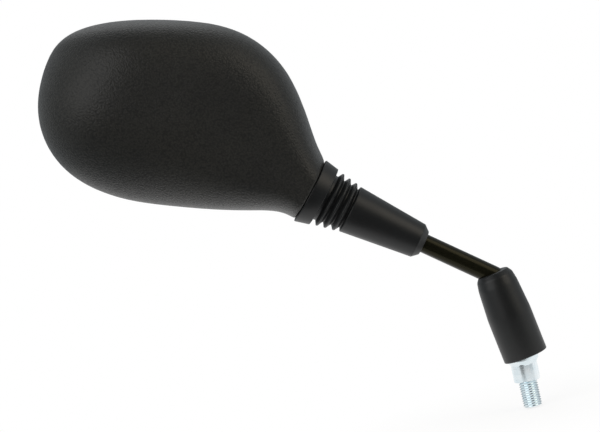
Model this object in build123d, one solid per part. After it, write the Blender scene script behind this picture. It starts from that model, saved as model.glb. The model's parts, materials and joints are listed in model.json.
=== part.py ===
import math
import os

from build123d import *

# Motorcycle mirror, right-hand, in millimetres and degrees.
# Origin at the centre of the hex's seat, +Z up the stud's axis, +X to the rider's right of the
# housing's back, +Y out of the glass. The stem's bend lies in the plane Y = 0.

# Stud adaptor: turned bar with a hex, a collar and an M10 x 1.25 stud
stud_d = 10.0
stud_length = 14.0
stud_chamfer = 0.9
hex_flats = 13.0
hex_height = 9.8
hex_turn = 13.0
hex_chamfer_angle = 30.0
hex_seat_inset = 0.35
flare_height = 1.8
collar_d = 16.6
collar_height = 11.0
socket_depth = 12.0
socket_chamfer = 0.6
foot_gap = 0.5
thread_fit = 0.1

# Stem: bent rod with a ball on its upper end
stem_d = 10.0
stem_foot_chamfer = 0.8
bend_height = 53.6
bend_radius = 15.0
stem_rise = 37.7
seam_reach = 111.6
ball_d = 15.0
ball_offset = 2.0

# Lock nut: thin M10 nut on the stem, tightened down on the adaptor
nut_flats = 16.0
nut_height = 5.0
nut_chamfer_angle = 30.0

# Lower boot: rubber cap over the bend, centred on the nut and leaning towards the stem
boot_room = 0.56
boot_wall = 1.9
boot_lip = 1.3
boot_lean = 9.0
boot_drop = 12.2
boot_length = 46.8
boot_shoulder_d = 20.6
boot_shoulder_height = 7.0
boot_crown_d = 15.4
boot_taper_height = 16.0
boot_roof = 2.4
boot_stem_fit = 0.15
boot_edge = 0.5

# Upper boot: collar ring, bellows and tapered sleeve, moulded in one
ring_d = 34.8
ring_end_d = 31.6
ring_length = 8.0
ring_edge = 0.5
ring_wall = 2.1
spigot_fit = 0.3
seam_gap = 0.3
ridge_count = 3
ridge_pitch = 4.1
ridge_flat = 1.2
groove_flat = 0.6
first_ridge = 11.7
ridge_first_d = 29.6
ridge_last_d = 26.6
groove_first_d = 26.4
groove_last_d = 22.6
bellows_wall = 1.4
sleeve_d = 25.6
sleeve_end_d = 18.5
sleeve_length = 38.4
sleeve_lip = 0.8
sleeve_nose_d = 13.0
sleeve_nose = 3.2
sleeve_grip = 9.0
sleeve_fit = 0.15

# Ball joint in the neck
liner_wall = 1.0
ball_fit = 0.15
swing = 15.0
swing_margin = 2.0
liner_back_angle = 40.0
cup_angle = 65.0
cup_floor = 2.0
cup_fit = 0.15
spring_count = 2
spring_room = 0.4
spring_hole_d = 9.2
spring_sheet = 1.0
spring_cone = 0.45
spring_gap = 0.02
plate_sheet = 2.0
plate_margin = 0.8
plate_overhang = 2.4
screw_d = 2.5
screw_length = 10.0
screw_head_d = 4.6
screw_head_height = 2.2
screw_fit = 0.05
screw_hole_room = 0.35
screw_wall = 1.2
boss_wall = 1.6
post_wall = 3.0

# Housing: moulded shell. Outline shares run along the neck's axis and across it
neck_d = 34.4
neck_depth = 18.0
neck_wall = 8.0
neck_flare = 2.5
spigot_length = 7.4
head_length = 152.6
head_rise = 58.7
head_drop = 47.4
crown_depth = 40.0
shoulder_depth = 36.0
wall = 3.2
front_wall = 3.0
front_trim = 5.0
arch_steps = 12
rib_steps = 10
pane_steps = 15
pane_rim_steps = 12
last_rib = 0.985
rim_lip = 2.4
crown_peak = 0.58
bottom_roundness = 2.1
top_roundness = 3.6
tip_roundness = 2.6
tip_start = 0.6
neck_roundness = 2.8
neck_blend = 0.4
rim_low = [(0.06, 0.378), (0.185, 0.534), (0.40, 0.811), (0.681, 1.0), (0.866, 0.819), (0.963, 0.443)]
rim_tip = (1.0, 0.0)
rim_high = [(0.966, 0.346), (0.86, 0.596), (0.645, 0.874), (0.444, 1.002), (0.225, 0.829), (0.062, 0.427)]
pane_rim = (0.155, 0.875)
pane_neck = [(0.134, 0.37), (0.15, -0.22)]

# Glass and what holds it
glass_radius = 1200.0
glass_recess = 0.4
glass_sheet = 2.0
pad_sheet = 1.0
pad_margin = 4.0
carrier_sheet = 1.8
pane_fit = 0.3
layer_gap = 0.02

# Derived places
stem_r = stem_d / 2
ball_r = ball_d / 2
adaptor_top = hex_height + flare_height + collar_height
stem_foot = adaptor_top - socket_depth + foot_gap
nut_corner = nut_flats / math.sqrt(3)
nut_middle = adaptor_top + nut_height / 2
stem_up = Vector(-math.cos(math.radians(stem_rise)), 0, math.sin(math.radians(stem_rise)))
bend = Vector(0, 0, bend_height)
seam = bend + stem_up * seam_reach
ball_centre = seam - stem_up * ball_offset
seat_r = ball_r + liner_wall + 2 * ball_fit
combined_swing = math.degrees(math.acos(math.cos(math.radians(swing)) ** 2))
mouth_angle = math.degrees(math.asin(stem_r / seat_r)) + combined_swing + swing_margin
cup_start = seat_r * math.cos(math.radians(cup_angle))
cup_end = seat_r + cup_floor
spring_r = seat_r - spring_room
spring_pitch = spring_sheet + spring_cone + spring_gap
plate_start = cup_end + spring_count * spring_pitch + spring_gap
post_end = plate_start - ball_offset
screw_across = seat_r + screw_wall + screw_d / 2
boss_r = screw_d / 2 + boss_wall
pane_stack = glass_recess + glass_sheet + pad_sheet + carrier_sheet + 3 * layer_gap

# Head frame: x along the neck into the head, y across it, z out of the glass
head_frame = Plane(origin=seam, x_dir=stem_up, z_dir=(0, 1, 0))
head = Location(head_frame)
neck_axis = Axis((0, 0, 0), (1, 0, 0))


def turned(outline, axis=Axis.Z):
    """Solid of revolution of a closed outline drawn beside its axis."""
    return revolve(make_face(outline), axis)


def closed(*points):
    """Closed straight-sided outline."""
    return Polyline(*points, close=True)


def on_neck(*points):
    """Closed outline in (along the neck, radius) coordinates."""
    return closed(*[(along, radius, 0) for along, radius in points])


def chamfered_hex(flats, bottom, height, chamfer_angle, seat_inset, both_ends):
    """Hex prism whose corners are turned down to a cone at one or both ends."""
    corner = flats / math.sqrt(3)
    seat = flats / 2 - seat_inset
    drop = (corner - seat) * math.tan(math.radians(chamfer_angle))
    top = bottom + height
    prism = Pos(0, 0, bottom) * extrude(RegularPolygon(flats / 2, 6, major_radius=False), height)
    points = [(0, 0, bottom), (seat, 0, bottom), (corner, 0, bottom + drop)]
    if both_ends:
        points += [(corner, 0, top - drop), (seat, 0, top)]
    else:
        points += [(corner, 0, top)]
    points += [(0, 0, top)]
    return prism & turned(closed(*points))


def stud_adaptor():
    stud_r = stud_d / 2
    flare_top = hex_height + flare_height
    socket_r = stem_r + thread_fit
    body = Rot(0, 0, hex_turn) * chamfered_hex(
        hex_flats, 0, hex_height, hex_chamfer_angle, hex_seat_inset, False
    )
    shank = turned(
        closed(
            (0, 0, -stud_length),
            (stud_r - stud_chamfer, 0, -stud_length),
            (stud_r, 0, stud_chamfer - stud_length),
            (stud_r, 0, 0),
            (hex_flats / 2 - hex_seat_inset, 0, 0),
            (hex_flats / 2 - hex_seat_inset, 0, hex_height),
            (collar_d / 2, 0, flare_top),
            (collar_d / 2, 0, adaptor_top),
            (socket_r + socket_chamfer, 0, adaptor_top),
            (socket_r, 0, adaptor_top - socket_chamfer),
            (socket_r, 0, adaptor_top - socket_depth),
            (0, 0, adaptor_top - socket_depth),
        )
    )
    return body + shank


def stem_path(start, end):
    """Centre line of the bent rod."""
    return FilletPolyline(start, bend, end, radius=bend_radius)


def rod(radius, start, end):
    """Round rod along the stem's centre line."""
    return sweep(Plane(origin=start, z_dir=(0, 0, 1)) * Circle(radius), path=stem_path(start, end))


def stem():
    bar = rod(stem_r, Vector(0, 0, stem_foot + stem_foot_chamfer), ball_centre)
    foot = Pos(0, 0, stem_foot) * turned(
        closed(
            (0, 0, 0),
            (stem_r - stem_foot_chamfer, 0, 0),
            (stem_r, 0, stem_foot_chamfer),
            (0, 0, stem_foot_chamfer),
        )
    )
    ball = Pos(ball_centre) * Sphere(ball_r)
    return bar + foot + ball


def lock_nut():
    nut = chamfered_hex(nut_flats, adaptor_top, nut_height, nut_chamfer_angle, 0, True)
    return nut - Pos(0, 0, nut_middle) * Cylinder(stem_r + thread_fit, nut_height)


def lower_boot():
    inner_r = nut_corner + boot_room
    outer_r = inner_r + boot_wall
    shoulder_r = boot_shoulder_d / 2
    shoulder = boot_length - boot_shoulder_height
    taper = shoulder - boot_taper_height
    crown_r = boot_crown_d / 2
    neck_r = crown_r - boot_edge
    side = Polyline((outer_r, 0, boot_edge), (outer_r, 0, taper), (shoulder_r, 0, shoulder))
    dome = TangentArc(side @ 1, (crown_r, 0, boot_length), tangent=side % 1)
    rest = Polyline(
        dome @ 1,
        (0, 0, boot_length),
        (0, 0, boot_length - boot_roof),
        (neck_r, 0, boot_length - boot_roof),
        (neck_r, 0, taper),
        (inner_r, 0, taper),
        (inner_r, 0, boot_drop),
        (outer_r - boot_lip, 0, boot_drop),
        (outer_r - boot_lip, 0, 0),
        (outer_r - boot_edge, 0, 0),
        side @ 0,
    )
    cap = revolve(make_face(Wire([*side.edges(), *dome.edges(), *rest.edges()])), Axis.Z)
    placed = Pos(0, 0, nut_middle) * Rot(0, -boot_lean, 0) * Pos(0, 0, -boot_drop) * cap
    return placed - rod(stem_r + boot_stem_fit, Vector(0, 0, nut_middle), ball_centre)


def spigot_radius(along):
    """Outer radius of the neck's spigot, the ring's taper less its wall and fit."""
    share = along / ring_length
    return (ring_d + (ring_end_d - ring_d) * share) / 2 - ring_wall - spigot_fit


def bellows():
    """Points along the bellows, from the ring to the sleeve, as (distance from seam, radius)."""
    points = []
    for i in range(ridge_count + 1):
        share = i / ridge_count
        groove = (groove_first_d + (groove_last_d - groove_first_d) * share) / 2
        middle = first_ridge + (i - 0.5) * ridge_pitch
        points += [(middle - groove_flat / 2, groove), (middle + groove_flat / 2, groove)]
        if i < ridge_count:
            share = i / (ridge_count - 1)
            crest = (ridge_first_d + (ridge_last_d - ridge_first_d) * share) / 2
            middle = first_ridge + i * ridge_pitch
            points += [(middle - ridge_flat / 2, crest), (middle + ridge_flat / 2, crest)]
    return points


def upper_boot():
    folds = bellows()
    sleeve_start = folds[-1][0] + sleeve_lip
    sleeve_end = sleeve_start + sleeve_length
    tip = sleeve_end + sleeve_nose
    sleeve_middle = (sleeve_start + sleeve_end) / 2
    bore = stem_r + sleeve_fit
    narrow = sleeve_end_d / 2 - bellows_wall
    wide = groove_last_d / 2 - bellows_wall
    pocket = spigot_length + spigot_fit
    outline = [
        (seam_gap, spigot_radius(seam_gap) + spigot_fit),
        (seam_gap, ring_d / 2 - ring_edge),
        (seam_gap + ring_edge, ring_d / 2),
        (ring_length - ring_edge, ring_end_d / 2),
        (ring_length, ring_end_d / 2 - ring_edge),
        *folds,
        (sleeve_start, sleeve_d / 2 - ring_edge),
        (sleeve_start + ring_edge, sleeve_d / 2),
        (sleeve_end, sleeve_end_d / 2),
        (tip, sleeve_nose_d / 2),
        (tip, bore),
        (tip - sleeve_grip, bore),
        (tip - sleeve_grip, narrow),
        (sleeve_middle, narrow),
        (sleeve_middle, wide),
        (pocket, wide),
        (pocket, spigot_radius(pocket) + spigot_fit),
    ]
    return head * Rot(0, 0, 180) * turned(on_neck(*outline), neck_axis)


def smooth(value):
    """Rises from 0 to 1 with no slope at either end."""
    value = min(max(value, 0), 1)
    return value * value * (3 - 2 * value)


def rounded(angle, roundness):
    """Point at an angle on a superellipse of unit half-axes: 2 is a circle, more is squarer."""
    side = math.cos(angle)
    height = math.sin(angle)
    radius = (abs(side) ** roundness + abs(height) ** roundness) ** (-1 / roundness)
    return side * radius, height * radius


rim_points = [(0, -neck_d / 2)]
rim_points += [(along * head_length, -across * head_drop) for along, across in rim_low]
rim_points += [(rim_tip[0] * head_length, rim_tip[1] * head_rise)]
rim_points += [(along * head_length, across * head_rise) for along, across in rim_high]
rim_points += [(0, neck_d / 2)]
rim = Spline(*rim_points)


def furthest(first, last):
    """Place along the rim, between two others, where it runs straight across the neck's line."""
    halvings = 40
    for _ in range(halvings):
        middle = (first + last) / 2
        if (rim % middle).X > 0:
            first = middle
        else:
            last = middle
    return first


rim_end = furthest(0.25, 0.75)


def rim_point(place, inset):
    """Point on the rim, moved inwards in the rim's own plane."""
    slope = rim % place
    return rim @ place + Vector(-slope.Y, slope.X) * inset


def rib(share, inset, front):
    """Closed section of the housing, an arch on a chord of the rim. The chord stands across the neck
    at share 0 and shrinks to a point at the far end of the rim, at 1."""
    low = rim_point(share * rim_end, inset)
    chord = rim_point(1 - share * (1 - rim_end), inset) - low
    blend = smooth(share / neck_blend)
    fall = math.pi / 2 * max(share - tip_start, 0) / (1 - tip_start)
    full = shoulder_depth + (crown_depth - shoulder_depth) * smooth(share / tip_start)
    depth = (full - inset - front) * rounded(fall, tip_roundness)[0]
    peak = 0.5 + (crown_peak - 0.5) * smooth(share)
    points = []
    for i in range(arch_steps + 1):
        roundness = bottom_roundness if 2 * i <= arch_steps else top_roundness
        roundness = neck_roundness + (roundness - neck_roundness) * blend
        side, height = rounded(math.pi * i / arch_steps, roundness)
        foot = low + chord * (peak - side * (peak if side > 0 else 1 - peak))
        points.append(Vector(foot.X, foot.Y, neck_depth - front - depth * height))
    curve = Edge.make_spline(points, parameters=[i / arch_steps for i in range(arch_steps + 1)])
    return Wire([curve, Edge.make_line(points[-1], points[0])])


def hood(inset, front, start):
    """Dome lofted from the neck to the rim's far end. It is lofted past the rim's plane and trimmed
    to planes there and at its start."""
    proud = front - front_trim
    ribs = [rib(last_rib * i / rib_steps, inset, proud) for i in range(rib_steps + 1)]
    size = 2 * head_length
    room = Pos(start + size / 2, 0, neck_depth - front - size / 2) * Box(size, size, size)
    return Solid.make_loft(ribs) & room


pane_reach = pane_rim[1] - pane_rim[0]
pane_points = [rim @ (pane_rim[0] + pane_reach * i / pane_rim_steps) for i in range(pane_rim_steps + 1)]
pane_points += [(along * head_length, across * head_rise) for along, across in pane_neck]
pane_curve = Spline(*pane_points, periodic=True)
pane_middle = make_face(pane_curve).center()


def pane_outline(inset):
    """Outline of the pane, moved inwards by the same distance all round."""
    halves = []
    for first in (0, 0.5):
        places = [first + i / (2 * pane_steps) for i in range(pane_steps + 1)]
        slopes = [pane_curve % place for place in places]
        inwards = [Vector(-slope.Y, slope.X) * inset for slope in slopes]
        points = [pane_curve @ place + move for place, move in zip(places, inwards)]
        halves.append(Spline(*points, tangents=[slopes[0], slopes[-1]]).edge())
    return make_face(Wire(halves))


def bowl(depth):
    """Ball of the glass's curve, its top at a depth behind the rim's plane, poles clear of the pane."""
    centre = Pos(pane_middle.X, pane_middle.Y, neck_depth - glass_radius)
    return centre * Rot(90, 0, 0) * Sphere(glass_radius - depth)


def pane_prism(inset):
    """Straight block with the pane's outline, through the front of the housing."""
    reach = 2 * pane_stack
    return Pos(0, 0, neck_depth - reach) * extrude(pane_outline(inset), 2 * reach)


def pane(inset, depth, sheet):
    """Curved sheet with the pane's outline, behind the rim's plane."""
    return head * ((pane_prism(inset) & bowl(depth)) - bowl(depth + sheet))


def along_neck(radius, start, end):
    """Round bar on the neck's axis."""
    return Pos((start + end) / 2, 0, 0) * Rot(0, 90, 0) * Cylinder(radius, end - start)


def screw_places(piece):
    """Two copies of a piece on the neck's axis, before and behind the ball's bore."""
    return [Pos(0, 0, side * screw_across) * piece for side in (-1, 1)]


def around_ball(radius, angle):
    """Point beside the ball's centre, at an angle from the stem."""
    turn = math.radians(angle)
    return (-ball_offset - radius * math.cos(turn), radius * math.sin(turn), 0)


def ball_arc(radius, first, last):
    """Arc round the ball's centre, from one angle to another."""
    middle = (first + last) / 2
    points = [around_ball(radius, angle) for angle in (first, middle, last)]
    return ThreePointArc(*points)


def neck_turned(*curves):
    """Solid of revolution about the neck from curves that follow each other."""
    outline = Wire([edge for curve in curves for edge in curve.edges()])
    return revolve(make_face(outline), neck_axis)


def ball_socket():
    """Room in the neck for the ball and what clamps it: mouth, round seat and straight bore."""
    seat = ball_arc(seat_r, mouth_angle, 90)
    mouth_r = 2 * seat_r
    mouth = Polyline(
        around_ball(mouth_r, 0),
        around_ball(mouth_r, mouth_angle),
        seat @ 0,
    )
    bore = Polyline(
        seat @ 1,
        (post_end, seat_r, 0),
        (post_end, 0, 0),
        around_ball(mouth_r, 0),
    )
    return neck_turned(mouth, seat, bore)


def housing():
    flare_end = neck_d / 2 + head_length * neck_flare
    flare = turned(
        on_neck(
            (0, 0),
            (0, neck_d / 2),
            (head_length, flare_end),
            (2 * head_length, flare_end),
            (2 * head_length, 0),
        ),
        neck_axis,
    )
    skin = hood(0, 0, 0) & flare
    cavity = hood(wall, front_wall, neck_wall)
    post = along_neck(seat_r + post_wall, 0, post_end)
    for boss in screw_places(along_neck(boss_r, 0, post_end)):
        post += boss
    spigot = turned(
        on_neck(
            (0, 0),
            (0, spigot_radius(0)),
            (-spigot_length, spigot_radius(spigot_length)),
            (-spigot_length, 0),
        ),
        neck_axis,
    )
    pilot = along_neck(screw_d / 2 + screw_fit, post_end - screw_length, post_end)
    rebate = pane_prism(rim_lip) - bowl(pane_stack)
    shell = skin + spigot - (cavity - post) - rebate - ball_socket()
    for hole in screw_places(pilot):
        shell -= hole
    return head * shell


def ball_liner():
    start = math.degrees(math.asin(stem_r / ball_r)) + swing + swing_margin
    end = 180 - liner_back_angle
    inner = ball_arc(ball_r + ball_fit, start, end)
    outer = ball_arc(ball_r + ball_fit + liner_wall, end, start)
    return head * neck_turned(inner, Line(inner @ 1, outer @ 0), outer, Line(outer @ 1, inner @ 0))


def pressure_cup():
    recess = ball_arc(seat_r, 180 - cup_angle, 180)
    body = Polyline(
        recess @ 1,
        (cup_end - ball_offset, 0, 0),
        (cup_end - ball_offset, seat_r - cup_fit, 0),
        (cup_start - ball_offset, seat_r - cup_fit, 0),
        recess @ 0,
    )
    return head * neck_turned(recess, body)


def disc_springs():
    """Coned discs stacked in opposed pairs."""
    discs = []
    for i in range(spring_count):
        near = cup_end + spring_gap + i * spring_pitch - ball_offset
        hole_shift, rim_shift = (0, spring_cone) if i % 2 else (spring_cone, 0)
        disc = turned(
            on_neck(
                (near + hole_shift, spring_hole_d / 2),
                (near + rim_shift, spring_r),
                (near + rim_shift + spring_sheet, spring_r),
                (near + hole_shift + spring_sheet, spring_hole_d / 2),
            ),
            neck_axis,
        )
        discs.append(head * disc)
    return discs


def clamp_plate():
    blank = Sketch() + Circle(seat_r + plate_margin)
    blank += [Pos(0, side * screw_across) * Circle(plate_overhang) for side in (-1, 1)]
    plate = Pos(post_end, 0, 0) * extrude(Plane.YZ * make_hull(blank.edges()), plate_sheet)
    hole = along_neck(screw_d / 2 + screw_hole_room, post_end, post_end + plate_sheet)
    for place in screw_places(hole):
        plate -= place
    return head * plate


def clamp_screws():
    under_head = post_end + plate_sheet
    shank = along_neck(screw_d / 2, under_head - screw_length, under_head)
    cap = along_neck(screw_head_d / 2, under_head, under_head + screw_head_height)
    return [head * place for place in screw_places(shank + cap)]


glass_depth = glass_recess
pad_depth = glass_depth + glass_sheet + layer_gap
carrier_depth = pad_depth + pad_sheet + layer_gap
pane_edge = rim_lip + pane_fit

nodes = {
    "stud_adaptor": stud_adaptor(),
    "stem": stem(),
    "lock_nut": lock_nut(),
    "lower_boot": lower_boot(),
    "upper_boot": upper_boot(),
    "ball_liner": ball_liner(),
    "housing": housing(),
    "pressure_cup": pressure_cup(),
    "disc_springs": Compound(disc_springs()),
    "clamp_plate": clamp_plate(),
    "clamp_screws": Compound(clamp_screws()),
    "glass_carrier": pane(pane_edge, carrier_depth, carrier_sheet),
    "glass_pad": pane(pane_edge + pad_margin, pad_depth, pad_sheet),
    "mirror_glass": pane(pane_edge, glass_depth, glass_sheet),
}

os.makedirs("parts", exist_ok=True)
for name, shape in nodes.items():
    export_step(shape, f"parts/{name}.step")
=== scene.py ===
import json
import math

import bpy
from mathutils import Matrix, Vector


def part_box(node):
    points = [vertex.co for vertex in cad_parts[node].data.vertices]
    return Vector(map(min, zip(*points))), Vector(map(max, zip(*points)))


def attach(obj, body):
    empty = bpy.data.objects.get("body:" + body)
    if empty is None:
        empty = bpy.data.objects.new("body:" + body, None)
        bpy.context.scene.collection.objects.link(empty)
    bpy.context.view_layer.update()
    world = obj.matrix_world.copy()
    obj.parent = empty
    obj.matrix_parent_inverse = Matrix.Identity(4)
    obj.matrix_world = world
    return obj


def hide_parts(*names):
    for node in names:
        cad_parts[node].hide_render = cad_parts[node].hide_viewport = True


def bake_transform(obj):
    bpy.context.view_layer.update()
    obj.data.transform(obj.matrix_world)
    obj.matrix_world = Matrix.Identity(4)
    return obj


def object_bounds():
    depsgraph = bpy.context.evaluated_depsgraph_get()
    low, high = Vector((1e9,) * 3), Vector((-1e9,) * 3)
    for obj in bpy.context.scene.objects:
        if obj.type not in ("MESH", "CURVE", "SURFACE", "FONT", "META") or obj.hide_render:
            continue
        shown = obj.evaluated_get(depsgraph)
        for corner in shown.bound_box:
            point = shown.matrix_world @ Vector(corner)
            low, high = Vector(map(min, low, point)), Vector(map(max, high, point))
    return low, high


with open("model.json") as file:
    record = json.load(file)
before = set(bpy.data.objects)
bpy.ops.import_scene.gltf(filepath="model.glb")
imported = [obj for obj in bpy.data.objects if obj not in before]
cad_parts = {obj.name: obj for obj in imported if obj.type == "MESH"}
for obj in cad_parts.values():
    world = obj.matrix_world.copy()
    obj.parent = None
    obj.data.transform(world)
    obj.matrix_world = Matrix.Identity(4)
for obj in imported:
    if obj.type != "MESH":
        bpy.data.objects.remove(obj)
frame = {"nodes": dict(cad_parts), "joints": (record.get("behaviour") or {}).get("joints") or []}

# Motorcycle mirror: sizes are in millimetres, times mm where Blender needs metres
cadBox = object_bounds()
mm = 0.001
mergeGap = 0.002
seamReach = 2.0
joints = {joint["name"]: joint for joint in frame["joints"]}
ballCentre = Vector(joints["head_roll"]["pos_m"])
stemUp = Vector(joints["head_roll"]["axis"]).normalized()  # up the stem, from the bend to the head
seam = ballCentre + stemUp * seamReach * mm  # where the boot's ring meets the housing


def selectOnly(piece):
    bpy.ops.object.select_all(action="DESELECT")
    piece.select_set(True)
    bpy.context.view_layer.objects.active = piece


def applyModifier(piece, kind, **settings):
    selectOnly(piece)
    modifier = piece.modifiers.new(kind.lower(), kind)
    for name, value in settings.items():
        setattr(modifier, name, value)
    bpy.ops.object.modifier_apply(modifier=modifier.name)


def cutWith(piece, tool, operation):
    applyModifier(piece, "BOOLEAN", operation=operation, object=tool, solver="EXACT")
    bpy.data.objects.remove(tool)


def addPrimitive(name, add, **settings):  # a new mesh, with its place and turn applied
    bpy.ops.object.select_all(action="DESELECT")
    add(**settings)
    piece = bpy.context.object
    piece.name = name
    bpy.ops.object.transform_apply(location=True, rotation=True, scale=True)
    return piece


def standAlong(piece, origin, direction):  # a piece made up the Z axis is stood at its place
    selectOnly(piece)
    piece.location = origin
    piece.rotation_euler = direction.to_track_quat("Z", "Y").to_euler()
    bpy.ops.object.transform_apply(location=True, rotation=True, scale=True)


def cleanMesh(piece):
    selectOnly(piece)
    bpy.ops.object.mode_set(mode="EDIT")
    bpy.ops.mesh.select_all(action="SELECT")
    bpy.ops.mesh.remove_doubles(threshold=mergeGap * mm)
    bpy.ops.mesh.normals_make_consistent(inside=False)
    bpy.ops.object.mode_set(mode="OBJECT")


def shade(piece, angle):
    selectOnly(piece)
    bpy.ops.object.shade_smooth_by_angle(angle=math.radians(angle))


def copyPiece(source, name):  # a loose copy with a mesh of its own
    piece = source.copy()
    piece.data = source.data.copy()
    for key in list(piece.keys()):
        del piece[key]
    piece.parent = None
    piece.name = name
    bpy.context.scene.collection.objects.link(piece)
    return piece


def finishPiece(piece, material, node, body=None):
    piece.data.materials.clear()
    piece.data.materials.append(material)
    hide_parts(node)
    if body:
        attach(piece, body)
    print("piece", piece.name, len(piece.data.polygons), "faces")


def roundCorners(corners, arcSteps):  # corners are (radius, along, rounding) in mm
    places = [Vector((radius, 0, along)) * mm for radius, along, rounding in corners]
    path = [places[0]]
    for before, here, after, corner in zip(places, places[1:], places[2:], corners[1:]):
        rounding = corner[2] * mm
        if rounding == 0:
            path.append(here)
            continue
        back = (before - here).normalized()
        ahead = (after - here).normalized()
        half = back.angle(ahead) / 2
        centre = here + (back + ahead).normalized() * rounding / math.sin(half)
        reach = rounding / math.tan(half)
        first = (here + back * reach - centre).normalized()
        last = (here + ahead * reach - centre).normalized()
        for step in range(arcSteps + 1):
            path.append(centre + first.slerp(last, step / arcSteps) * rounding)
    path.append(places[-1])
    return path


def drawPath(name, path):  # a new plane becomes one point, drawn out from place to place
    piece = addPrimitive(name, bpy.ops.mesh.primitive_plane_add, size=mm)
    bpy.ops.object.mode_set(mode="EDIT")
    bpy.ops.mesh.select_mode(type="VERT")
    bpy.ops.mesh.select_all(action="SELECT")
    bpy.ops.mesh.merge(type="CENTER")
    bpy.ops.transform.translate(value=path[0])
    for here, there in zip(path, path[1:]):
        bpy.ops.mesh.extrude_vertices_move(TRANSFORM_OT_translate={"value": there - here})
    return piece


def turnPiece(name, corners, arcSteps=5, turnSteps=96):  # a profile beside the Z axis, spun round it
    piece = drawPath(name, roundCorners(corners, arcSteps))
    bpy.ops.mesh.select_all(action="SELECT")
    bpy.ops.mesh.spin(steps=turnSteps, angle=2 * math.pi, center=(0, 0, 0), axis=(0, 0, 1))
    bpy.ops.object.mode_set(mode="OBJECT")
    cleanMesh(piece)
    return piece


# Materials

def toLinear(hexColour):
    shares = [int(hexColour[i:i + 2], 16) / 255 for i in (1, 3, 5)]
    return [*[s / 12.92 if s <= 0.04045 else ((s + 0.055) / 1.055) ** 2.4 for s in shares], 1]


def addNode(tree, kind, settings=None, inputs=None):  # inputs are values, or sockets to link from
    node = tree.nodes.new(kind)
    for name, value in (settings or {}).items():
        setattr(node, name, value)
    for name, value in (inputs or {}).items():
        if isinstance(value, bpy.types.NodeSocket):
            tree.links.new(value, node.inputs[name])
        else:
            node.inputs[name].default_value = value
    return node


def addNoise(tree, place, sizeMm, detail):
    return addNode(tree, "ShaderNodeTexNoise", inputs={
        "Vector": place, "Scale": 1 / (sizeMm * mm), "Detail": detail,
    }).outputs["Fac"]


def mixTone(tree, share, first, second):  # 6, 7 and 2 are a colour mix's two colours and its result
    return addNode(tree, "ShaderNodeMix", {"data_type": "RGBA"}, {
        0: share, 6: first, 7: second,
    }).outputs[2]


def mapTo(tree, share, ends):
    return addNode(tree, "ShaderNodeMapRange", inputs={
        "Value": share, "To Min": ends[0], "To Max": ends[1],
    }).outputs[0]


def addBump(tree, height, depthMm, strength, invert=False):
    return addNode(tree, "ShaderNodeBump", {"invert": invert}, {
        "Height": height, "Strength": strength, "Distance": depthMm * mm,
    }).outputs[0]


def startTree(owner):
    owner.use_nodes = True
    owner.node_tree.nodes.clear()
    return owner.node_tree


def startMaterial(name, settings):
    material = bpy.data.materials.new(name)
    tree = startTree(material)
    shader = addNode(tree, "ShaderNodeBsdfPrincipled", inputs=settings)
    addNode(tree, "ShaderNodeOutputMaterial", inputs={"Surface": shader.outputs[0]})
    place = addNode(tree, "ShaderNodeTexCoord").outputs["Object"]
    return material, tree, shader, place


def linkShader(tree, shader, sockets):
    for name, socket in sockets.items():
        tree.links.new(socket, shader.inputs[name])


# Black polypropylene moulded in a tool etched with leather grain: dull pebbles, with painted shade
# darkening the creases between them.
# The real pebbles are finer, about 0.7 mm, and are drawn at 0.9 mm so that they show
def makeGrainedPlastic():
    grain = {
        "pebbleMm": 0.9, "smoothness": 0.7, "fineMm": 0.38, "fineShare": 0.35, "patchMm": 35,
        "creaseMm": 0.21, "creaseFrom": 0.05, "creaseTo": 0.55, "creaseShadeShare": 0.6,
        # the crease tone and its share are painted shade laid into the creases, not a colour of the
        # plastic
        "creasePaintedShade": "#0c0c0c", "dark": "#212120", "light": "#2b2a25", "roughness": (0.3, 0.47),
    }
    material, tree, shader, place = startMaterial(
        "grainedPolypropylene", {"IOR": 1.49, "Specular IOR Level": 0.3}
    )
    pebbles = addNode(tree, "ShaderNodeTexVoronoi", {"feature": "SMOOTH_F1"}, {
        "Vector": place, "Scale": 1 / (grain["pebbleMm"] * mm), "Smoothness": grain["smoothness"],
    }).outputs["Distance"]
    fine = addNoise(tree, place, grain["fineMm"], detail=2.0)
    patches = addNoise(tree, place, grain["patchMm"], detail=3.0)
    relief = addNode(tree, "ShaderNodeMath", {"operation": "MULTIPLY_ADD"}, {
        0: fine, 1: -grain["fineShare"], 2: pebbles,
    }).outputs[0]
    # Painted shade: where the relief sinks into a crease, the base colour is darkened towards the crease
    # tone, standing in for the shade that falls there
    paintedCreaseShade = addNode(tree, "ShaderNodeMapRange", inputs={
        "Value": relief, "From Min": grain["creaseFrom"], "From Max": grain["creaseTo"],
        "To Max": grain["creaseShadeShare"],
    }).outputs[0]
    tone = mixTone(tree, patches, toLinear(grain["dark"]), toLinear(grain["light"]))
    linkShader(tree, shader, {
        "Base Color": mixTone(tree, paintedCreaseShade, tone, toLinear(grain["creasePaintedShade"])),
        "Roughness": mapTo(tree, pebbles, grain["roughness"]),
        "Normal": addBump(tree, relief, grain["creaseMm"], strength=1.0, invert=True),
    })
    return material


# Black EPDM rubber moulded in a fine-blasted tool: dull, with a faint grey bloom
def makeRubber():
    skin = {
        "blastMm": 0.22, "blastDepthMm": 0.012, "bloomMm": 14, "dark": "#0b0c0c", "light": "#131414",
        "roughness": (0.34, 0.48),
    }
    material, tree, shader, place = startMaterial(
        "mouldedRubber", {"IOR": 1.5, "Specular IOR Level": 0.45}
    )
    blast = addNoise(tree, place, skin["blastMm"], detail=2.0)
    bloom = addNoise(tree, place, skin["bloomMm"], detail=4.0)
    linkShader(tree, shader, {
        "Base Color": mixTone(tree, bloom, toLinear(skin["dark"]), toLinear(skin["light"])),
        "Roughness": mapTo(tree, bloom, skin["roughness"]),
        "Normal": addBump(tree, blast, skin["blastDepthMm"], strength=0.6),
    })
    return material


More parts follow.
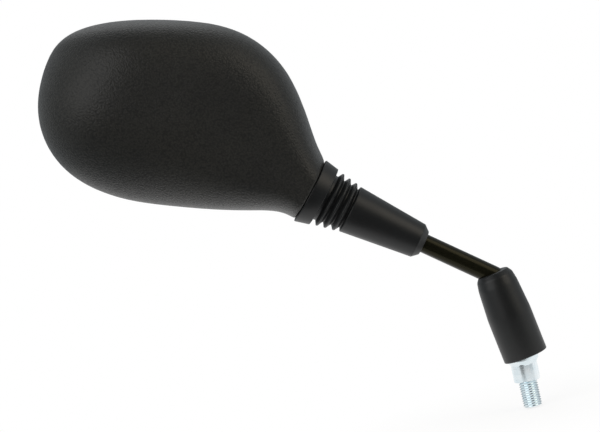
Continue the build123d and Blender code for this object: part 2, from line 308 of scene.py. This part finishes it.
# Gloss black stove enamel on steel: clear reflections with an olive cast, faint orange peel
def makeEnamel():
    coat = {
        "peelMm": 1.6, "peelDepthMm": 0.01, "dark": "#0b0b07", "light": "#15140c", "cast": "#9c967a",
        "roughness": (0.16, 0.26),
    }
    material, tree, shader, place = startMaterial(
        "stoveEnamel", {"IOR": 1.5, "Specular Tint": toLinear(coat["cast"])}
    )
    peel = addNoise(tree, place, coat["peelMm"], detail=1.0)
    linkShader(tree, shader, {
        "Base Color": mixTone(tree, peel, toLinear(coat["dark"]), toLinear(coat["light"])),
        "Roughness": mapTo(tree, peel, coat["roughness"]),
        "Normal": addBump(tree, peel, coat["peelDepthMm"], strength=0.4),
    })
    return material


# Turned steel with clear-blue passivated zinc: bright, faintly blue, with fine tool marks round its axis
def makeZinc():
    plate = {
        "toolMm": 0.12, "toolAcrossMm": 12.5, "toolDepthMm": 0.004, "cloudMm": 4,
        "blue": "#cfe2ea", "white": "#f6f8f8", "roughness": (0.1, 0.26),
    }
    material, tree, shader, place = startMaterial("passivatedZinc", {"Metallic": 1.0})
    across = 1 / (plate["toolAcrossMm"] * mm)
    drawn = addNode(tree, "ShaderNodeMapping", inputs={
        "Vector": place, "Scale": (across, across, 1 / (plate["toolMm"] * mm)),
    })
    marks = addNode(tree, "ShaderNodeTexNoise", inputs={
        "Vector": drawn.outputs[0], "Scale": 1.0, "Detail": 2.0,
    }).outputs["Fac"]
    clouds = addNoise(tree, place, plate["cloudMm"], detail=3.0)
    linkShader(tree, shader, {
        "Base Color": mixTone(tree, clouds, toLinear(plate["blue"]), toLinear(plate["white"])),
        "Roughness": mapTo(tree, marks, plate["roughness"]),
        "Normal": addBump(tree, marks, plate["toolDepthMm"], strength=0.5),
    })
    return material


# Silvered float glass: a clean mirror with the faintest green
def makeMirror():
    silver = {"tint": "#e3e9e7", "deep": "#d3dcd9", "hazeMm": 60, "roughness": (0.01, 0.05)}
    material, tree, shader, place = startMaterial("silveredGlass", {"Metallic": 1.0})
    haze = addNoise(tree, place, silver["hazeMm"], detail=2.0)
    linkShader(tree, shader, {
        "Base Color": mixTone(tree, haze, toLinear(silver["tint"]), toLinear(silver["deep"])),
        "Roughness": mapTo(tree, haze, silver["roughness"]),
    })
    return material


# Inner pieces, seen only with the mirror apart: one cloudy tone and a fine relief each
def makeInner(name, settings, dark, light, reliefMm, depthMm):
    material, tree, shader, place = startMaterial(name, settings)
    relief = addNoise(tree, place, reliefMm, detail=3.0)
    linkShader(tree, shader, {
        "Base Color": mixTone(tree, relief, toLinear(dark), toLinear(light)),
        "Normal": addBump(tree, relief, depthMm, strength=0.5),
    })
    return material


grainedPlastic = makeGrainedPlastic()
rubber = makeRubber()
enamel = makeEnamel()
zinc = makeZinc()
mirror = makeMirror()
# White acetal: waxy, smooth from its mould
acetal = makeInner(
    "mouldedAcetal", {"Roughness": 0.38, "IOR": 1.48},
    dark="#cfccc2", light="#dcd9d0", reliefMm=6, depthMm=0.01,
)
# Oiled spring steel: dark, rolled
springSteel = makeInner(
    "oiledSpringSteel", {"Metallic": 1.0, "Roughness": 0.34},
    dark="#5a5c60", light="#7b7d82", reliefMm=0.5, depthMm=0.006,
)
# Black ABS carrier, plain from the mould
carrierPlastic = makeInner(
    "plainAbs", {"Roughness": 0.42, "IOR": 1.53},
    dark="#121212", light="#1c1c1c", reliefMm=0.4, depthMm=0.01,
)
# Closed-cell polyethylene foam with adhesive: dull and pitted
foam = makeInner(
    "closedCellFoam", {"Roughness": 0.9, "IOR": 1.4},
    dark="#2b2b2d", light="#454547", reliefMm=0.35, depthMm=0.08,
)
print("materials made")


# The head sits a little out of square on the stem: the seam leans with it, the boot's sleeve doesn't
def leanSeam(piece):
    lean = {"angle": 3.2, "shift": 0.7, "bootFrom": 12.0, "bootTo": 32.0, "housingTo": -28.0}
    across = Vector((stemUp.z, 0, -stemUp.x))
    for point in piece.data.vertices:
        below = (seam - point.co).dot(stemUp) / mm
        if below < 0:
            share = 1 - below / lean["housingTo"]
        else:
            share = 1 - (below - lean["bootFrom"]) / (lean["bootTo"] - lean["bootFrom"])
        share = min(1, max(0, share))
        share = share * share * (3 - 2 * share)  # eased at both ends
        slope = (point.co - seam).dot(across) * math.tan(math.radians(lean["angle"]))
        point.co += stemUp * share * (lean["shift"] * mm - slope)


# Housing: the moulded shell, its edges eased as a mould leaves them.
# It is filled out a little first, so that its thinnest wall stays closed in the remesh
def buildHousing():
    shell = {"fuller": 0.2, "voxel": 0.6, "easeFactor": 0.5, "easePasses": 12, "keepFaces": 185000}
    piece = copyPiece(frame["nodes"]["housing"], "housing_shell")
    cleanMesh(piece)
    applyModifier(piece, "DISPLACE", strength=shell["fuller"] * mm, mid_level=0)
    applyModifier(piece, "REMESH", mode="VOXEL", voxel_size=shell["voxel"] * mm)
    applyModifier(piece, "SMOOTH", factor=shell["easeFactor"], iterations=shell["easePasses"])
    applyModifier(piece, "TRIANGULATE")
    applyModifier(piece, "DECIMATE", ratio=min(1, shell["keepFaces"] / len(piece.data.polygons)))
    leanSeam(piece)
    selectOnly(piece)
    bpy.ops.object.shade_smooth()
    finishPiece(piece, grainedPlastic, "housing", "head")


# Mirror pane: the solid's outline, filled, cut to a fine grid and laid on a ball
def buildPane():
    pane = {
        "curve": 1200, "grid": 4, "sheet": 2.0, "edge": 0.25, "edgeSteps": 3, "edgeAngle": 50,
        "frontFacing": 0.5,
    }
    piece = copyPiece(frame["nodes"]["mirror_glass"], "mirror_pane")
    cleanMesh(piece)
    low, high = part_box("mirror_glass")
    middle = (low + high) / 2
    bpy.ops.object.mode_set(mode="EDIT")
    bpy.ops.mesh.select_mode(type="FACE")
    bpy.ops.mesh.select_all(action="DESELECT")
    bpy.ops.object.mode_set(mode="OBJECT")
    for face in piece.data.polygons:
        face.select = face.normal.y < pane["frontFacing"]
    bpy.ops.object.mode_set(mode="EDIT")
    bpy.ops.mesh.delete(type="FACE")
    bpy.ops.mesh.select_all(action="SELECT")
    bpy.ops.mesh.region_to_loop()
    bpy.ops.mesh.select_all(action="INVERT")
    bpy.ops.mesh.delete(type="EDGE")
    bpy.ops.mesh.select_all(action="SELECT")
    bpy.ops.mesh.delete_loose(use_verts=True, use_edges=False, use_faces=False)
    bpy.ops.mesh.select_all(action="SELECT")
    bpy.ops.mesh.edge_face_add()
    for normal, first, last in (((1, 0, 0), low.x, high.x), ((0, 0, 1), low.z, high.z)):
        lines = int((last - first) / (pane["grid"] * mm))
        for line in range(1, lines):
            cut = Vector(normal) * (first + (last - first) * line / lines)
            bpy.ops.mesh.select_all(action="SELECT")
            bpy.ops.mesh.bisect(plane_co=cut, plane_no=normal)
    bpy.ops.object.mode_set(mode="OBJECT")
    ball = pane["curve"] * mm
    for point in piece.data.vertices:
        reach = math.hypot(point.co.x - middle.x, point.co.z - middle.z)
        point.co.y = high.y - ball + math.sqrt(ball ** 2 - reach ** 2)
    cleanMesh(piece)
    if piece.data.polygons[0].normal.y < 0:  # the sheet has to face out before it gets its thickness
        bpy.ops.object.mode_set(mode="EDIT")
        bpy.ops.mesh.select_all(action="SELECT")
        bpy.ops.mesh.flip_normals()
        bpy.ops.object.mode_set(mode="OBJECT")
    applyModifier(piece, "SOLIDIFY", thickness=pane["sheet"] * mm, offset=-1)
    applyModifier(piece, "BEVEL", width=pane["edge"] * mm, segments=pane["edgeSteps"],
                  limit_method="ANGLE", angle_limit=math.radians(pane["edgeAngle"]))
    shade(piece, angle=10)
    finishPiece(piece, mirror, "mirror_glass", "head")


# Upper boot: ring, bellows and sleeve of one moulding, in two pieces that meet in a groove's floor.
# Crests and grooves are (along, radius), and their flats are (half length, rounding)
def buildUpperBoot():
    boot = {
        "seamGap": 0.35, "ring": 17.8, "ringRound": 0.4, "ringEnd": 16.1, "ringLength": 8.1,
        "ringEndRound": 0.35, "ringInner": 15.24, "pocket": 7.7, "pocketInner": 13.76,
        "stepOut": 0.2, "stepDown": 0.3, "stepRound": 0.2, "inner": 9.9, "split": 13.75,
        "crests": [(11.7, 15.1), (15.8, 14.35), (19.9, 13.6)],
        "grooves": [(9.65, 12.7), (13.75, 12.1), (17.85, 11.6), (21.95, 11.0)],
        "flats": {"crests": (0.4, 0.45), "grooves": (0.22, 0.15)},
        "sleeve": 12.8, "sleeveStart": 22.85, "sleeveRound": 0.35,
        "sleeveEnd": 61.45, "sleeveEndR": 9.25, "sleeveEndRound": 0.5,
        "tip": 64.65, "tipR": 6.5, "tipRound": 0.35, "bore": 5.15, "boreRound": 0.2,
        "grip": 55.65, "middle": 42.5, "narrow": 7.85,
    }

    def flat(kind, index):  # the two corners of a crest's top or a groove's floor
        along, radius = boot[kind][index]
        half, rounding = boot["flats"][kind]
        return [(radius, along - half, rounding), (radius, along + half, rounding)]

    def below(along):  # a point on the stem's axis, this far under the seam
        return seam - stemUp * along * mm

    floor = boot["grooves"][1][1]
    stepRadius = boot["grooves"][0][1] + boot["stepOut"]
    ring = turnPiece("upper_boot_ring", [
        (boot["inner"], boot["split"], 0),
        (boot["inner"], boot["pocket"], 0),
        (boot["pocketInner"], boot["pocket"], 0),
        (boot["ringInner"], boot["seamGap"], 0),
        (boot["ring"], boot["seamGap"], boot["ringRound"]),
        (boot["ringEnd"], boot["ringLength"], boot["ringEndRound"]),
        (stepRadius, boot["ringLength"] + boot["stepDown"], boot["stepRound"]),
        *flat("grooves", 0),
        *flat("crests", 0),
        flat("grooves", 1)[0],
        (floor, boot["split"], 0),
        (boot["inner"], boot["split"], 0),
    ])
    sleeve = turnPiece("upper_boot_sleeve", [
        (boot["inner"], boot["split"], 0),
        (floor, boot["split"], 0),
        flat("grooves", 1)[1],
        *flat("crests", 1),
        *flat("grooves", 2),
        *flat("crests", 2),
        *flat("grooves", 3),
        (boot["sleeve"], boot["sleeveStart"], boot["sleeveRound"]),
        (boot["sleeveEndR"], boot["sleeveEnd"], boot["sleeveEndRound"]),
        (boot["tipR"], boot["tip"], boot["tipRound"]),
        (boot["bore"], boot["tip"], boot["boreRound"]),
        (boot["bore"], boot["grip"], 0),
        (boot["narrow"], boot["grip"], 0),
        (boot["narrow"], boot["middle"], 0),
        (boot["inner"], boot["middle"], 0),
        (boot["inner"], boot["split"], 0),
    ])
    for piece in (ring, sleeve):
        standAlong(piece, seam, -stemUp)
        leanSeam(piece)
        shade(piece, angle=40)
        finishPiece(piece, rubber, "upper_boot")
    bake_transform(ring)
    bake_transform(sleeve)


# Stem: a rod turned round one bend, with its ball
def buildStem():
    rod = {
        "radius": 5.0, "foot": 11.1, "chamfer": 0.8, "bend": 53.6, "bendRadius": 15.0, "ball": 7.5,
        "sides": 64, "bendSteps": 28, "ballSides": 48, "ballRings": 32,
    }
    turn = stemUp.angle(Vector((0, 0, 1)))
    run = rod["bendRadius"] * math.tan(turn / 2)
    footRadius = rod["radius"] - rod["chamfer"]
    wider = rod["radius"] / footRadius
    straight = rod["bend"] - run - rod["foot"] - rod["chamfer"]
    upper = (ballCentre - Vector((0, 0, rod["bend"] * mm))).length - run * mm
    piece = addPrimitive(
        "stem_rod", bpy.ops.mesh.primitive_circle_add,
        vertices=rod["sides"], radius=footRadius * mm, location=(0, 0, rod["foot"] * mm),
    )
    bpy.ops.object.mode_set(mode="EDIT")
    bpy.ops.mesh.select_mode(type="EDGE")
    bpy.ops.mesh.select_all(action="SELECT")
    bpy.ops.mesh.extrude_edges_move(TRANSFORM_OT_translate={"value": (0, 0, rod["chamfer"] * mm)})
    bpy.ops.transform.resize(value=(wider, wider, 1), center_override=(0, 0, 0))
    bpy.ops.mesh.extrude_edges_move(TRANSFORM_OT_translate={"value": (0, 0, straight * mm)})
    bpy.ops.mesh.spin(
        steps=rod["bendSteps"], angle=turn, axis=(0, 1, 0),
        center=(-rod["bendRadius"] * mm, 0, (rod["bend"] - run) * mm),
    )
    bpy.ops.mesh.extrude_edges_move(TRANSFORM_OT_translate={"value": stemUp * upper})
    bpy.ops.mesh.select_all(action="SELECT")
    bpy.ops.mesh.fill_holes(sides=0)
    bpy.ops.object.mode_set(mode="OBJECT")
    cleanMesh(piece)
    ball = addPrimitive(
        "ball", bpy.ops.mesh.primitive_uv_sphere_add, segments=rod["ballSides"],
        ring_count=rod["ballRings"], radius=rod["ball"] * mm, location=ballCentre,
    )
    cutWith(piece, ball, "UNION")
    cleanMesh(piece)
    shade(piece, angle=40)
    finishPiece(piece, enamel, "stem", "stem")
    return piece


# Lower boot: a rubber cap over the bend, leaning towards the head, with the stem through its crown
def buildLowerBoot(stemPiece):
    cap = {
        "lean": 9.0, "nutMiddle": 25.1, "drop": 12.2, "length": 46.8, "arcSteps": 8,
        "crown": 8.0, "crownRound": 0.9, "browOut": 1.75, "browDown": 2.6, "browRound": 3.0,
        "shoulder": 10.6, "shoulderAt": 39.6, "shoulderRound": 14.0,
        "outer": 11.7, "taper": 23.8, "taperRound": 60.0, "rimRound": 0.5, "lip": 10.4, "lipRound": 0.3,
        "roof": 2.4, "inner": 9.8, "neck": 7.2, "room": 0.2,
    }
    piece = turnPiece("lower_boot_cap", [
        (0, cap["length"], 0),
        (cap["crown"], cap["length"], cap["crownRound"]),
        (cap["crown"] + cap["browOut"], cap["length"] - cap["browDown"], cap["browRound"]),
        (cap["shoulder"], cap["shoulderAt"], cap["shoulderRound"]),
        (cap["outer"], cap["taper"], cap["taperRound"]),
        (cap["outer"], 0, cap["rimRound"]),
        (cap["lip"], 0, cap["lipRound"]),
        (cap["lip"], cap["drop"], 0),
        (cap["inner"], cap["drop"], 0),
        (cap["inner"], cap["taper"], 0),
        (cap["neck"], cap["taper"], 0),
        (cap["neck"], cap["length"] - cap["roof"], 0),
        (0, cap["length"] - cap["roof"], 0),
    ], arcSteps=cap["arcSteps"])
    lean = Matrix.Rotation(math.radians(-cap["lean"]), 4, "Y")
    foot = Vector((0, 0, cap["nutMiddle"] * mm)) - lean @ Vector((0, 0, cap["drop"] * mm))
    standAlong(piece, foot, lean @ Vector((0, 0, 1)))
    hole = copyPiece(stemPiece, "stemHole")
    applyModifier(hole, "DISPLACE", strength=cap["room"] * mm, mid_level=0)
    cutWith(piece, hole, "DIFFERENCE")
    cleanMesh(piece)
    shade(piece, angle=40)
    finishPiece(piece, rubber, "lower_boot", "stem")


# Stud adaptor: hex bar turned down to a collar and an M10 x 1.25 stud
def buildStud():
    stud = {
        "sides": 6, "flats": 13.0, "hexHeight": 9.8, "hexTurn": 13.0, "hexEase": 1.4, "easeSteps": 5,
        "seat": 6.15, "chamferDeg": 30, "spigotFoot": 1.0, "spigotIn": 0.2,
        "flareFoot": 8.4, "flareOut": 0.15, "flareRound": 0.6, "flareTop": 11.4,
        "collar": 8.3, "collarRound": 0.4, "top": 22.6, "socket": 5.1, "socketFloor": 10.6,
    }
    corner = stud["flats"] / math.sqrt(3)
    drop = (corner - stud["seat"]) * math.tan(math.radians(stud["chamferDeg"]))
    piece = addPrimitive(
        "stud_adaptor_plated", bpy.ops.mesh.primitive_cylinder_add,
        vertices=stud["sides"], radius=corner * mm, depth=stud["hexHeight"] * mm,
        location=(0, 0, stud["hexHeight"] / 2 * mm),
        rotation=(0, 0, math.radians(stud["hexTurn"] + 180 / stud["sides"])),
    )
    bpy.ops.object.mode_set(mode="EDIT")
    bpy.ops.mesh.select_mode(type="EDGE")
    bpy.ops.mesh.select_all(action="DESELECT")
    bpy.ops.object.mode_set(mode="OBJECT")
    for edge in piece.data.edges:  # the upright edges are eased
        ends = [piece.data.vertices[i].co for i in edge.vertices]
        edge.select = abs(ends[0].z - ends[1].z) > mm
    bpy.ops.object.mode_set(mode="EDIT")
    bpy.ops.mesh.bevel(offset=stud["hexEase"] * mm, segments=stud["easeSteps"])
    bpy.ops.object.mode_set(mode="OBJECT")
    chamfer = turnPiece("hexChamfer", [
        (0, 0, 0),
        (stud["seat"], 0, 0),
        (corner, drop, 0),
        (corner, stud["hexHeight"], 0),
        (0, stud["hexHeight"], 0),
    ])
    cutWith(piece, chamfer, "INTERSECT")
    collar = turnPiece("collar", [
        (0, stud["spigotFoot"], 0),
        (stud["seat"] - stud["spigotIn"], stud["spigotFoot"], 0),
        (stud["seat"] + stud["flareOut"], stud["flareFoot"], stud["flareRound"]),
        (stud["collar"], stud["flareTop"], stud["collarRound"]),
        (stud["collar"], stud["top"], stud["collarRound"]),
        (stud["socket"], stud["top"], stud["collarRound"]),
        (stud["socket"], stud["socketFloor"], 0),
        (0, stud["socketFloor"], 0),
    ])
    cutWith(piece, collar, "UNION")
    cutWith(piece, buildThread(), "UNION")
    cleanMesh(piece)
    shade(piece, angle=28)
    finishPiece(piece, zinc, "stud_adaptor", "base")


# Thread: one tooth wound up the stud, cut square at both ends and chamfered at its foot
def buildThread():
    thread = {
        "crest": 4.95, "root": 4.22, "pitch": 1.25, "length": 14.0, "lead": 1.0, "crestFrom": 0.44,
        "crestTo": 0.56, "spareTurns": 4, "steps": 72, "intoHex": 0.5, "clear": 0.2, "mergeGap": 0.001,
    }
    foot = -thread["length"]
    tooth = [
        (0.0, thread["root"]), (thread["crestFrom"], thread["crest"]),
        (thread["crestTo"], thread["crest"]), (1.0, thread["root"]),
    ]
    path = [(radius, 0, foot + (share - 1) * thread["pitch"]) for share, radius in tooth]
    piece = drawPath("thread", [Vector(place) * mm for place in path])
    bpy.ops.object.mode_set(mode="OBJECT")
    applyModifier(
        piece, "SCREW", angle=2 * math.pi, screw_offset=thread["pitch"] * mm,
        iterations=int(thread["length"] / thread["pitch"]) + thread["spareTurns"],
        steps=thread["steps"], render_steps=thread["steps"],
        use_merge_vertices=True, merge_threshold=thread["mergeGap"] * mm,
    )
    selectOnly(piece)
    bpy.ops.object.mode_set(mode="EDIT")
    for height, clearBelow in ((foot, True), (thread["intoHex"], False)):
        bpy.ops.mesh.select_all(action="SELECT")
        bpy.ops.mesh.bisect(plane_co=(0, 0, height * mm), plane_no=(0, 0, 1), use_fill=True,
                            clear_inner=clearBelow, clear_outer=not clearBelow)
    bpy.ops.object.mode_set(mode="OBJECT")
    cleanMesh(piece)
    outer = thread["crest"] + thread["clear"]
    under = foot - thread["clear"]
    over = thread["intoHex"] + thread["clear"]
    envelope = turnPiece("threadEnd", [
        (0, under, 0),
        (thread["crest"] - thread["lead"] - thread["clear"], under, 0),
        (outer, foot + thread["lead"] + thread["clear"], 0),
        (outer, over, 0),
        (0, over, 0),
    ])
    cutWith(piece, envelope, "INTERSECT")
    return piece


buildHousing()
buildPane()
buildUpperBoot()
buildLowerBoot(buildStem())
buildStud()

innerFinishes = {
    "lock_nut": zinc, "ball_liner": acetal, "pressure_cup": acetal, "disc_springs": springSteel,
    "clamp_plate": springSteel, "clamp_screws": springSteel, "glass_carrier": carrierPlastic,
    "glass_pad": foam,
}
for node, material in innerFinishes.items():
    for slot in frame["nodes"][node].material_slots:
        slot.material = material
print("inner pieces finished")


# Stage: a pale floor that fades into the white round it
def buildStage():
    stage = {
        "radius": 600, "sides": 128, "front": 160, "side": 180, "drop": 0.3,
        "paper": "#f4f4f4", "white": "#ffffff", "shadow": 0.24, "fadeTo": 120,
    }
    middle = Vector((stage["side"], stage["radius"] - stage["front"], -stage["drop"])) * mm
    middle.z += cadBox[0].z
    floor = addPrimitive(
        "floor", bpy.ops.mesh.primitive_circle_add,
        vertices=stage["sides"], radius=stage["radius"] * mm, fill_type="NGON", location=middle,
    )
    material = bpy.data.materials.new("floorPaper")
    tree = startTree(material)
    paper = addNode(tree, "ShaderNodeBsdfDiffuse", inputs={"Color": toLinear(stage["paper"])})
    white = addNode(tree, "ShaderNodeEmission", inputs={
        "Color": toLinear(stage["white"]), "Strength": 1.0,
    })
    place = addNode(tree, "ShaderNodeTexCoord").outputs["Object"]
    reach = addNode(tree, "ShaderNodeVectorMath", {"operation": "LENGTH"}, {0: place})
    near = addNode(tree, "ShaderNodeMapRange", inputs={
        "Value": reach.outputs["Value"], "From Min": 0.0, "From Max": stage["fadeTo"] * mm,
        "To Min": stage["shadow"], "To Max": 0.0,
    })
    seen = addNode(tree, "ShaderNodeMixShader", inputs={
        0: near.outputs[0], 1: white.outputs[0], 2: paper.outputs[0],
    })
    path = addNode(tree, "ShaderNodeLightPath")
    shown = addNode(tree, "ShaderNodeMath", {"operation": "MAXIMUM"}, {
        0: path.outputs["Is Camera Ray"], 1: path.outputs["Is Glossy Ray"],
    })
    both = addNode(tree, "ShaderNodeMixShader", inputs={
        0: shown.outputs[0], 1: paper.outputs[0], 2: seen.outputs[0],
    })
    addNode(tree, "ShaderNodeOutputMaterial", inputs={"Surface": both.outputs[0]})
    floor.data.materials.append(material)


# World: white to the camera, and in reflections a grey tent, darkest where the housing's back faces
def buildWorld():
    tent = {
        "white": "#ffffff", "ambient": 0.72,
        "dimShape": (0.85, 1.0, 0.36), "dimSide": (-0.3, -0.9, 0.08),
        "stops": [(0.0, "#b1b6b9"), (0.32, "#7f888f"), (0.64, "#4b565e"), (0.92, "#0c0e10")],
    }
    world = bpy.data.worlds.new("lightTent")
    bpy.context.scene.world = world
    tree = startTree(world)
    place = addNode(tree, "ShaderNodeTexCoord").outputs["Generated"]
    shaped = addNode(tree, "ShaderNodeVectorMath", {"operation": "MULTIPLY"}, {
        0: place, 1: tent["dimShape"],
    })
    evened = addNode(tree, "ShaderNodeVectorMath", {"operation": "NORMALIZE"}, {0: shaped.outputs[0]})
    towards = addNode(tree, "ShaderNodeVectorMath", {"operation": "DOT_PRODUCT"}, {
        0: evened.outputs[0], 1: Vector(tent["dimSide"]).normalized(),
    })
    ramp = addNode(tree, "ShaderNodeValToRGB", inputs={"Fac": towards.outputs["Value"]})
    for stop in tent["stops"][2:]:  # a new ramp has two stops
        ramp.color_ramp.elements.new(stop[0])
    for element, (position, colour) in zip(ramp.color_ramp.elements, tent["stops"]):
        element.position = position
        element.color = toLinear(colour)
    white = toLinear(tent["white"])
    mirrored = addNode(tree, "ShaderNodeBackground", inputs={"Color": ramp.outputs["Color"]})
    plain = addNode(tree, "ShaderNodeBackground", inputs={"Color": white})
    ambient = addNode(tree, "ShaderNodeBackground", inputs={"Color": white, "Strength": tent["ambient"]})
    path = addNode(tree, "ShaderNodeLightPath")
    reflected = addNode(tree, "ShaderNodeMixShader", inputs={
        0: path.outputs["Is Glossy Ray"], 1: ambient.outputs[0], 2: mirrored.outputs[0],
    })
    shown = addNode(tree, "ShaderNodeMath", {"operation": "MAXIMUM"}, {
        0: path.outputs["Is Camera Ray"], 1: path.outputs["Is Transmission Ray"],
    })
    result = addNode(tree, "ShaderNodeMixShader", inputs={
        0: shown.outputs[0], 1: reflected.outputs[0], 2: plain.outputs[0],
    })
    addNode(tree, "ShaderNodeOutputWorld", inputs={"Surface": result.outputs[0]})


# Lights: three softboxes aimed at the mirror's middle, the right one a little warm, in metres and watts
def buildLights():
    aim = (cadBox[0] + cadBox[1]) / 2
    softboxes = {
        "overheadBox": {"place": (-0.15, 0.8, 1.0), "size": 0.8, "power": 1.2, "colour": "#ffffff"},
        "upperLeftBox": {"place": (-1.15, -1.0, 0.75), "size": 1.6, "power": 13.0, "colour": "#ffffff"},
        "upperRightBox": {"place": (1.1, -0.7, 0.8), "size": 1.0, "power": 5.2, "colour": "#fff3df"},
    }
    for name, box in softboxes.items():
        lamp = bpy.data.lights.new(name, "AREA")
        lamp.shape = "SQUARE"
        lamp.size = box["size"]
        lamp.energy = box["power"]
        lamp.color = toLinear(box["colour"])[:3]
        light = bpy.data.objects.new(name, lamp)
        bpy.context.scene.collection.objects.link(light)
        light.location = box["place"]
        light.rotation_euler = (aim - Vector(box["place"])).to_track_quat("-Z", "Y").to_euler()


# Camera: a long lens a little above the mirror, rolled as the photograph leans
def buildCamera():
    view = {
        "aim": (-96.6, 0, 110.4), "width": 311.1, "lens": 180, "sensor": 36, "nearest": 10,
        "azimuth": -0.25, "elevation": 4.5, "roll": 12.85,
    }
    shot = bpy.data.cameras.new("photoView")
    shot.lens = view["lens"]
    shot.sensor_width = view["sensor"]
    shot.sensor_fit = "HORIZONTAL"
    shot.clip_start = view["nearest"] * mm
    camera = bpy.data.objects.new("photoView", shot)
    bpy.context.scene.collection.objects.link(camera)
    distance = view["width"] * mm * view["lens"] / view["sensor"]
    azimuth = math.radians(view["azimuth"])
    elevation = math.radians(view["elevation"])
    ahead = Vector((
        -math.sin(azimuth) * math.cos(elevation),
        math.cos(azimuth) * math.cos(elevation),
        -math.sin(elevation),
    ))
    roll = Matrix.Rotation(math.radians(-view["roll"]), 3, "Z").to_quaternion()
    camera.location = Vector(view["aim"]) * mm - ahead * distance
    camera.rotation_euler = (ahead.to_track_quat("-Z", "Y") @ roll).to_euler()
    bpy.context.scene.camera = camera


buildStage()
buildWorld()
buildLights()
buildCamera()
bpy.context.scene.view_settings.view_transform = "Standard"
print("stage, light and camera set")
